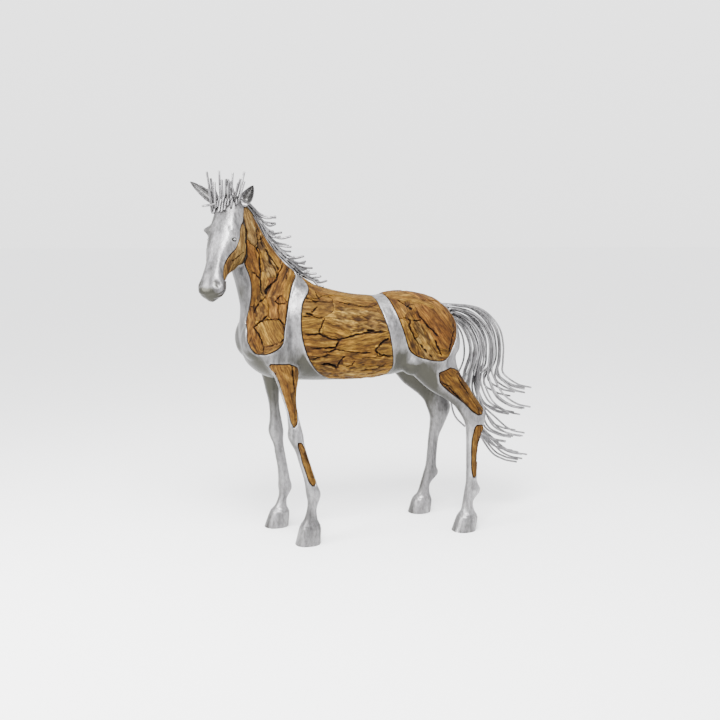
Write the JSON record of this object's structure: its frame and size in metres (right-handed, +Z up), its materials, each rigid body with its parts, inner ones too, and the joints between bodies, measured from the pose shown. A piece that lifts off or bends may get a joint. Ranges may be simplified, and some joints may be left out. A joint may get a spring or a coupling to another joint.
{
  "type": "horse statue",
  "caption": "Life-size standing horse of sanded cast metal with driftwood let into its neck, barrel, haunches, jaw and legs, and bent metal rods for forelock, mane and tail.",
  "frame": {"origin": "on the ground, at the middle of the bounding box", "axes": "+Z up; the horse faces -X, with its head turned towards its left, which is the -Y side; +Y is the side that the picture doesn't show"},
  "size_m": [2.3062, 0.627, 2.2568],
  "materials": {
    "metal": "cast and hand-sanded to a satin finish",
    "driftwood": "dry weathered driftwood"
  },
  "bodies": {
    "root": {"barrel_driftwood": "driftwood", "fore_cannon_driftwood_left": "driftwood", "fore_cannon_driftwood_right": "driftwood", "forearm_driftwood_left": "driftwood", "forearm_driftwood_right": "driftwood", "forelock_rod_01": "metal", "forelock_rod_02": "metal", "forelock_rod_03": "metal", "forelock_rod_04": "metal", "forelock_rod_05": "metal", "forelock_rod_06": "metal", "forelock_rod_07": "metal", "forelock_rod_08": "metal", "forelock_rod_09": "metal", "forelock_rod_10": "metal", "gaskin_driftwood_left": "driftwood", "gaskin_driftwood_right": "driftwood", "haunch_driftwood_left": "driftwood", "haunch_driftwood_right": "driftwood", "hind_cannon_driftwood_left": "driftwood", "hind_cannon_driftwood_right": "driftwood", "horse_body": "metal", "jaw_driftwood_left": "driftwood", "jaw_driftwood_right": "driftwood", "mane_rod_01": "metal", "mane_rod_02": "metal", "mane_rod_03": "metal", "mane_rod_04": "metal", "mane_rod_05": "metal", "mane_rod_06": "metal", "mane_rod_07": "metal", "mane_rod_08": "metal", "mane_rod_09": "metal", "mane_rod_10": "metal", "mane_rod_11": "metal", "mane_rod_12": "metal", "neck_driftwood_left": "driftwood", "neck_driftwood_right": "driftwood", "tail_rod_01": "metal", "tail_rod_02": "metal", "tail_rod_03": "metal", "tail_rod_04": "metal", "tail_rod_05": "metal", "tail_rod_06": "metal", "tail_rod_07": "metal", "tail_rod_08": "metal", "tail_rod_09": "metal", "tail_rod_10": "metal", "tail_rod_11": "metal", "tail_rod_12": "metal", "tail_rod_13": "metal", "tail_rod_14": "metal", "tail_rod_15": "metal", "tail_rod_16": "metal", "tail_rod_17": "metal", "tail_rod_18": "metal", "tail_rod_19": "metal", "tail_rod_20": "metal", "tail_rod_21": "metal", "tail_rod_22": "metal"}
  },
  "joints": []
}
